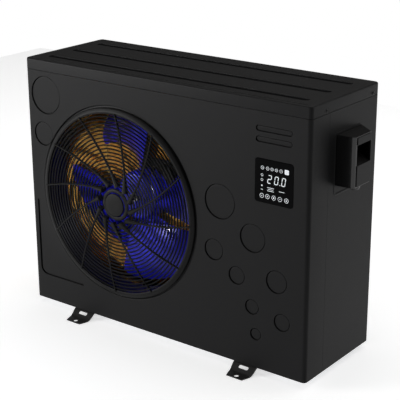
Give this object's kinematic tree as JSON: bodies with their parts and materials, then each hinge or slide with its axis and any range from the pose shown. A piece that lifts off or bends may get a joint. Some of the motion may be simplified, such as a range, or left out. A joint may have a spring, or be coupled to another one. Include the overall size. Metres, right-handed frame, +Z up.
{
  "type": "pool heat pump unit",
  "caption": "Free-standing pool heat pump: upright charcoal sheet cabinet with a domed round fan guard, square touch display, side handle shroud, rear water unions and bent feet.",
  "frame": {"origin": "on the ground, in the middle of the overall bounding box", "axes": "+X to the right seen from the front, +Y to the back, +Z up"},
  "size_m": [0.955, 0.431, 0.71],
  "materials": {
    "charcoal_paint": "fine satin powder coat",
    "black_paint": "satin black",
    "black_plastic": "moulded, fine grain",
    "guard_plastic": "moulded, satin",
    "blue_plastic": "semi-gloss",
    "grey_paint": "satin motor paint",
    "galvanised_steel": "bare zinc coat",
    "gold_fin": "gold hydrophilic coat",
    "copper_tube": "bare copper",
    "valve_brass": "bare brass",
    "white_plastic": "smooth PVC",
    "board_green": "coated circuit board",
    "display_glass": "gloss black touch panel",
    "rubber_black": "moulded rubber"
  },
  "bodies": {
    "cabinet": {"accumulator": "black_paint", "base_pan": "charcoal_paint", "cable_gland": "black_plastic", "coil_gas_pipe": "copper_tube", "coil_header": "copper_tube", "coil_liquid_pipe": "copper_tube", "coil_plate_front": "galvanised_steel", "coil_plate_rear": "galvanised_steel", "compressor": "black_paint", "compressor_grommet_1": "rubber_black", "compressor_grommet_2": "rubber_black", "compressor_grommet_3": "rubber_black", "control_board": "board_green", "cover_screw_1": "galvanised_steel", "cover_screw_2": "galvanised_steel", "cover_screw_3": "galvanised_steel", "cover_screw_4": "galvanised_steel", "discharge_pipe": "copper_tube", "display_glass": "display_glass", "display_housing": "black_plastic", "drain_spout": "black_plastic", "electronics_box": "galvanised_steel", "electronics_lid": "galvanised_steel", "evaporator_coil": "gold_fin", "exchanger_gas_pipe": "copper_tube", "exchanger_liquid_pipe": "copper_tube", "expansion_valve": "valve_brass", "fan_guard": "guard_plastic", "fan_motor": "grey_paint", "fan_orifice": "black_plastic", "flow_switch": "black_plastic", "foot_rail_left": "black_paint", "foot_rail_right": "black_paint", "four_way_valve": "valve_brass", "front_panel": "charcoal_paint", "guard_hub_cap": "guard_plastic", "handle_shroud": "black_plastic", "heat_exchanger": "white_plastic", "inlet_union_tail": "white_plastic", "left_coil_guard": "charcoal_paint", "motor_bracket": "galvanised_steel", "outlet_union_tail": "white_plastic", "partition_plate": "galvanised_steel", "rear_coil_guard": "charcoal_paint", "rear_corner_post": "charcoal_paint", "rear_panel": "charcoal_paint", "right_side_panel": "charcoal_paint", "shroud_face": "charcoal_paint", "suction_elbow": "copper_tube", "suction_pipe": "copper_tube", "terminal_block": "white_plastic", "top_cover": "charcoal_paint", "water_inlet_port": "white_plastic", "water_outlet_port": "white_plastic"},
    "fan_rotor": {"fan": "blue_plastic", "fan_nut": "galvanised_steel", "motor_shaft": "galvanised_steel"},
    "inlet_nut": {"inlet_union_nut": "black_plastic"},
    "outlet_nut": {"outlet_union_nut": "black_plastic"},
    "paddle": {"flow_paddle": "galvanised_steel"}
  },
  "joints": [
    {"name": "fan_spin", "type": "hinge", "parent": "cabinet", "child": "fan_rotor", "pos_m": [-0.16275, -0.0915, 0.359], "axis": [0, 1, 0], "continuous": true},
    {"name": "inlet_nut_turn", "type": "hinge", "parent": "cabinet", "child": "inlet_nut", "pos_m": [0.33525, 0.1685, 0.12], "axis": [0, 1, 0], "range_deg": [0, 720]},
    {"name": "outlet_nut_turn", "type": "hinge", "parent": "cabinet", "child": "outlet_nut", "pos_m": [0.33525, 0.1685, 0.34], "axis": [0, 1, 0], "range_deg": [0, 720]},
    {"name": "flow_paddle_swing", "type": "hinge", "parent": "cabinet", "child": "paddle", "pos_m": [0.33525, 0.1215, 0.153], "axis": [1, 0, 0], "range_deg": [-18, 0]}
  ]
}
